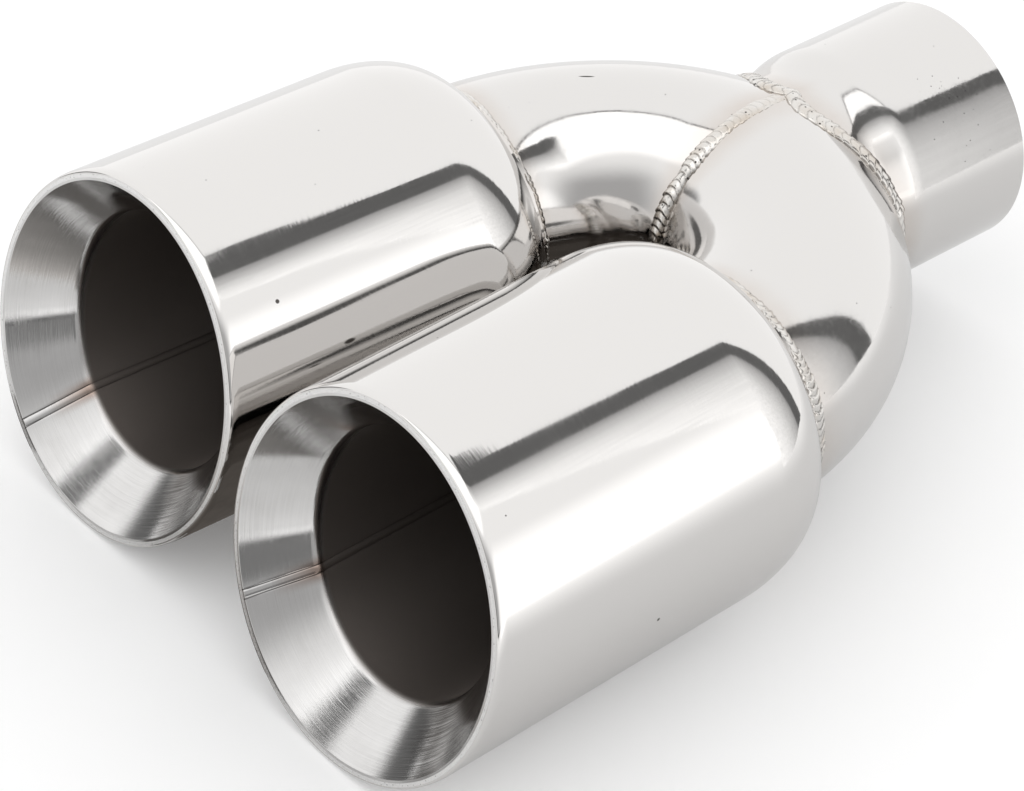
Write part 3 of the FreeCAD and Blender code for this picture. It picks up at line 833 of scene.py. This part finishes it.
# down the mitre, from the cope round the crotch and back to it: bold at the crotch, flatter at the inlet
mitre_leg = 2.2
mitre_end = -62.5
mitre_angles = np.linspace(0, 2 * np.pi, 1600, endpoint=False)
mitre_cut = elbow_ends(1, elbow_radius, mitre_angles)
mitre_line, mitre_out = elbow_surface(1, elbow_radius, mitre_cut, mitre_angles)
on_mitre = (np.abs(mitre_line[:, 0]) < 0.01) & (mitre_line[:, 1] < mitre_end)
mitre_line, mitre_out = mitre_line[on_mitre], mitre_out[on_mitre]
order = np.argsort(np.arctan2(mitre_line[:, 2], -inlet_reach - mitre_line[:, 1]))
mitre_line, mitre_out = mitre_line[order], mitre_out[order]
travel = np.concatenate([[0], np.linalg.norm(np.diff(mitre_line, axis=0), axis=1).cumsum()])
even = np.linspace(0, travel[-1], 760)
mitre_line, mitre_out = (np.stack([np.interp(even, travel, values[:, k]) for k in range(3)], -1)
                         for values in (mitre_line, mitre_out))
mitre_out = unit(mitre_out)
along_right = unit(np.cross(mitre_out, unit(np.gradient(mitre_line, axis=0))))
along_right *= np.sign(along_right[:, :1])
mitre_bead = bead("mitre_weld_bead_rippled", mitre_line + mitre_leg * along_right,
                  mitre_line + mitre_leg * along_right * [-1, 1, 1], unit(mitre_out * [0, 1, 1]),
                  bulge=1.0, root=1.2, pitch=2.3, relief=0.5, seed=11, closed=False,
                  boldness=0.22 + 0.78 * np.clip(1.5 * np.sin(np.pi * even / even[-1]) - 0.55, 0, 1))
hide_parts("mitre_weld_bead")

# round each collar
neck_lap = 0.6
neck_leg = 3.4
neck_steps, neck_length = 1000, 235
neck_angles = np.linspace(0, 2 * np.pi, neck_steps, endpoint=False)
for side, name in side_names.items():
    along = tip_place(side)[2]
    on_collar, out = elbow_surface(side, collar_radius + 0.05, -neck_lap, neck_angles)
    on_elbow = elbow_surface(side, elbow_radius - 0.1, neck_leg, neck_angles)[0]
    patchy = 0.8 + 0.35 * smooth_noise(neck_steps, neck_length, 9, 40 + side, True)
    neck_bead = bead(name + "_neck_weld_bead_rippled", on_collar, on_elbow, unit(4.0 * out + 3.0 * along),
                     bulge=0.6, root=0.4, pitch=2.1, relief=0.55, seed=20 + side, closed=True,
                     boldness=patchy)
    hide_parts(name + "_neck_weld_bead")

# Studio
# A pale floor in an evenly lit white tent. One seam of the tent hangs dark behind and above the
# right tip, with a scrim beside it that brightens towards a lamp outside.
floor_level = float(cad_low[2]) - 0.0002
floor_half = 0.85
corners = np.array([(-1, -1), (1, -1), (1, 1), (-1, 1)]) * floor_half + [0, -0.12]
floor = new_piece("floor", np.column_stack([corners, np.full(4, floor_level)]) * 1000, [(0, 1, 2, 3)])
paper = bpy.data.materials.new("white_paper")
paper.use_nodes = True
tree = paper.node_tree
shader = tree.nodes["Principled BSDF"]
shader.inputs["Base Color"].default_value = linear("#EFEFEF")
shader.inputs["Roughness"].default_value = 0.9
shader.inputs["Specular IOR Level"].default_value = 0.0
shader.inputs["Emission Color"].default_value = (1, 1, 1, 1)
ray = add_node(tree, "LightPath")
# lit better further out, where the tent's walls stand, and most towards the lamp
place = add_node(tree, "TexCoord").outputs["Object"]
out_from_part = add_node(tree, "VectorMath", {1: (0.0, -0.13, floor_level)}, {0: place}, operation="DISTANCE")
further = add_node(tree, "MapRange", span(0.2, 0.5, 0.0, 0.12),
                   {"Value": out_from_part.outputs["Value"]}, interpolation_type="SMOOTHSTEP")
to_lamp = add_node(tree, "VectorMath", {1: (0.9, 0.41, 0.0)}, {0: place}, operation="DOT_PRODUCT")
outer = add_node(tree, "MapRange", span(0.2, 0.8, 0.0, 0.5), {"Value": to_lamp.outputs["Value"]})
outer = add_node(tree, "Math", links={0: outer, 1: further}, operation="ADD")
lift = add_node(tree, "Mix", {3: 0.14}, {0: ray.outputs["Is Camera Ray"], 2: outer}, data_type="FLOAT")
feed(tree, lift, shader.inputs["Emission Strength"])
floor.data.materials.append(paper)

# the seam stands behind the tips and then slopes down over them; the scrim runs from it to the right
seam_path = np.array([(396, 576, -150), (396, 576, 910), (168, 28, 542), (47, -35, 417)], float)
scrim_edge = np.array([(386, 101, -150), (386, 101, 470), (280, -60, 420), (199, -130, 334)], float)
steps = np.linspace(0, 3, 181)
rounding = np.linspace(-0.11, 0.11, 9)[:, None]
seam_line, edge_line = (np.stack([np.interp(np.clip(steps + rounding, 0, 3), range(4), path[:, k]).mean(0)
                                  for k in range(3)], -1) for path in (seam_path, scrim_edge))
half_strip = np.interp(steps, [0, 1, 2, 2.75, 3], [50, 60, 55, 26, 2])[:, None]
facing = unit(np.cross(np.gradient(seam_line, axis=0), seam_line - [0, -150, 0]))
facing *= np.sign(facing @ np.array([1.0, -0.4, 0.0]))[:, None]
strip_left, strip_right = seam_line - facing * half_strip, seam_line + facing * half_strip
shares = np.array([0.0, 0.1, 0.5, 1.0])[None, :, None]
scrim = strip_right[:, None] + (edge_line - strip_right)[:, None] * shares
sheets = np.concatenate([strip_left[:, None], scrim], 1)


def hang(name, left, right, level_left, level_right, material):
    """A strip of cloth between two lines, its brightness running from one to the other."""
    rows = len(left)
    index = np.arange(rows * 2).reshape(rows, 2)
    quads = np.stack([index[:-1, 0], index[:-1, 1], index[1:, 1], index[1:, 0]], -1)
    cloth = new_piece(name, np.stack([left, right], 1).reshape(-1, 3), quads,
                      {"level": np.tile([level_left, level_right], rows)})
    cloth.visible_camera = cloth.visible_diffuse = cloth.visible_shadow = False
    cloth.data.materials.append(material)


def glowing(name, colour):
    """A material that gives off its colour at the strength kept in the mesh as level."""
    made = bpy.data.materials.new(name)
    made.use_nodes = True
    tree = made.node_tree
    tree.nodes.remove(tree.nodes["Principled BSDF"])
    level = add_node(tree, "Attribute", attribute_name="level").outputs["Fac"]
    # folds and thick threads in the cloth, 14 mm apart
    place = add_node(tree, "TexCoord").outputs["Object"]
    folds = add_node(tree, "TexNoise", {"Scale": 1000 / 14, "Detail": 4.0, "Roughness": 0.7},
                     {"Vector": place})
    uneven = add_node(tree, "MapRange", span(0.3, 0.7, 0.86, 1.14), {"Value": folds})
    level = add_node(tree, "Math", links={0: level, 1: uneven}, operation="MULTIPLY")
    glow = add_node(tree, "Emission", {"Color": linear(colour)}, {"Strength": level})
    feed(tree, glow, tree.nodes["Material Output"].inputs["Surface"])
    return made


tent_cloth = glowing("tent_cloth", "#FFFFFF")
for nth, (cloth_name, level_left, level_right) in enumerate((
        ("tent_seam", 0.17, 0.17), ("tent_hem", 0.2, 0.5), ("tent_scrim_far", 0.52, 0.9),
        ("tent_scrim_near", 0.9, 1.55))):
    hang(cloth_name, sheets[:, nth], sheets[:, nth + 1], level_left, level_right, tent_cloth)

# the metal shows the paper in deep shade under the gap and a little in front of the mouths
front_shade, gap_shade = glowing("shaded_paper_front", "#FFFBF7"), glowing("shaded_paper_under", "#FFF3E8")
shade_steps = 13
for shade_name, near, far, start, stop, level_near, level_far, material in (
        ("shade_front_outer", -322, -352, -125, 56, 0.45, 0.85, front_shade),
        ("shade_front_inner", -279, -322, -125, 56, 0.18, 0.45, front_shade),
        ("shade_beside_mouth", -236, -279, -128, -94, 0.18, 0.18, front_shade),
        ("shade_gap_front", -252, -279, -20, 20, 0.1, 0.18, gap_shade),
        ("shade_under_gap", -30, -252, -62, 34, 0.1, 0.1, gap_shade)):
    near_row, far_row = (np.stack([np.linspace(start, stop, shade_steps), np.full(shade_steps, y),
                                   np.full(shade_steps, floor_level * 1000 + 0.3)], -1) for y in (near, far))
    hang(shade_name, near_row, far_row, level_near, level_far, material)

world = bpy.data.worlds.new("white_tent")
bpy.context.scene.world = world
world.use_nodes = True
tree = world.node_tree
way_out = add_node(tree, "TexCoord").outputs["Generated"]
height = add_node(tree, "SeparateXYZ", links={"Vector": way_out}).outputs["Z"]


def towards(direction, start, full):
    """0 to 1, eased, as the dot product of the way out with a direction goes from start to full."""
    met = add_node(tree, "VectorMath", {1: direction}, {0: way_out}, operation="DOT_PRODUCT").outputs["Value"]
    return add_node(tree, "MapRange", span(start, full), {"Value": met}, interpolation_type="SMOOTHSTEP")


# a bright panel overhead with a dark frame along its back edge
across_tent = add_node(tree, "VectorMath", {1: (-0.6, 0.8, 0.0)}, {0: way_out}, operation="DOT_PRODUCT")
over = add_node(tree, "Math", {1: 0.3}, {0: height}, operation="MAXIMUM")
on_ceiling = add_node(tree, "Math", links={0: across_tent.outputs["Value"], 1: over}, operation="DIVIDE")
panel = add_node(tree, "MapRange", span(-0.62, -0.42), {"Value": on_ceiling}, interpolation_type="SMOOTHSTEP")
panel_back = add_node(tree, "MapRange", span(0.245, 0.25, 1.0, 0.0), {"Value": on_ceiling})
high_up = add_node(tree, "MapRange", span(0.70, 0.78), {"Value": height}, interpolation_type="SMOOTHSTEP")
for mask in (panel_back, high_up):
    panel = add_node(tree, "Math", links={0: panel, 1: mask}, operation="MULTIPLY")
frame_bar = band(tree, on_ceiling, 0.265, 0.010, 0.022)
frame_bar = add_node(tree, "Math", links={0: frame_bar, 1: high_up}, operation="MULTIPLY")
# a lamp outside at the right, no light from the left, and a second dark seam high at the left front
lamp = towards((0.90, 0.41, 0.10), 0.86, 0.95)
left_side = towards((-0.93, -0.33, -0.02), 0.925, 0.962)
far_seam = towards((-0.46, -0.61, 0.645), 0.9885, 0.993)
# less light in front, where the tent is open over a low sill, darker where somebody stands
front = towards((0.74, -0.62, 0.26), 0.5, 0.92)
figure = towards((0.70, -0.70, 0.13), 0.968, 0.985)
not_high = add_node(tree, "MapRange", span(0.55, 0.9, 1.0, 0.0),
                    {"Value": height}, interpolation_type="SMOOTHSTEP")
not_low = add_node(tree, "MapRange", span(0.01, 0.03), {"Value": height})
for mask in (not_high, not_low):
    front = add_node(tree, "Math", links={0: front, 1: mask}, operation="MULTIPLY")
figure = add_node(tree, "Math", links={0: figure, 1: not_low}, operation="MULTIPLY")
sill = band(tree, height, 0.03, 0.012, 0.022)
sill = add_node(tree, "Math", links={0: sill, 1: front}, operation="MULTIPLY")
level = add_node(tree, "Math", {1: 0.48, 2: 1.33}, {0: panel}, operation="MULTIPLY_ADD")
for share, change in ((lamp, 0.46), (frame_bar, -1.0), (front, -0.75), (figure, -0.3), (sill, -0.5),
                      (left_side, -1.1), (far_seam, -1.1)):
    level = add_node(tree, "Math", {1: change}, {0: share, 2: level}, operation="MULTIPLY_ADD")
level = add_node(tree, "Math", {1: 0.06}, {0: level}, operation="MAXIMUM")
# matt surfaces are lit evenly and the background is white
ray = add_node(tree, "LightPath")
lit = add_node(tree, "Mix", {3: 1.1}, {0: ray.outputs["Is Diffuse Ray"], 2: level}, data_type="FLOAT")
seen = add_node(tree, "Mix", {3: 1.0}, {0: ray.outputs["Is Camera Ray"], 2: lit}, data_type="FLOAT")
feed(tree, seen, tree.nodes["Background"].inputs["Strength"])
tree.nodes["Background"].inputs["Color"].default_value = (1, 1, 1, 1)

# the photo's viewpoint: lens and optical axis in pixels of a picture 1024 by 791
picture_width = 1024
camera_data = bpy.data.cameras.new("camera")
camera_data.sensor_width = 36
camera_data.lens = 3713.1 * 36 / picture_width
camera_data.shift_x = (512 - 522.2) / picture_width
camera_data.shift_y = (370.0 - 395.5) / picture_width
camera_data.clip_start = 0.05
camera_data.clip_end = 20
camera = bpy.data.objects.new("camera", camera_data)
azimuth, elevation, roll = (math.radians(angle) for angle in (47.373, 37.986, 3.26))
back = np.array([math.sin(azimuth) * math.cos(elevation), -math.cos(azimuth) * math.cos(elevation),
                 math.sin(elevation)])
right = np.array([math.cos(azimuth), math.sin(azimuth), 0.0])
over = np.cross(back, right)
pose = np.eye(4)
pose[:3, :3] = np.stack([right * math.cos(roll) + over * math.sin(roll),
                         over * math.cos(roll) - right * math.sin(roll), back], -1)
pose[:3, 3] = (0.58994, -0.7006, 0.6076)
camera.matrix_world = Matrix(pose.tolist())
bpy.context.scene.collection.objects.link(camera)
bpy.context.scene.camera = camera
bpy.context.scene.view_settings.view_transform = "Standard"
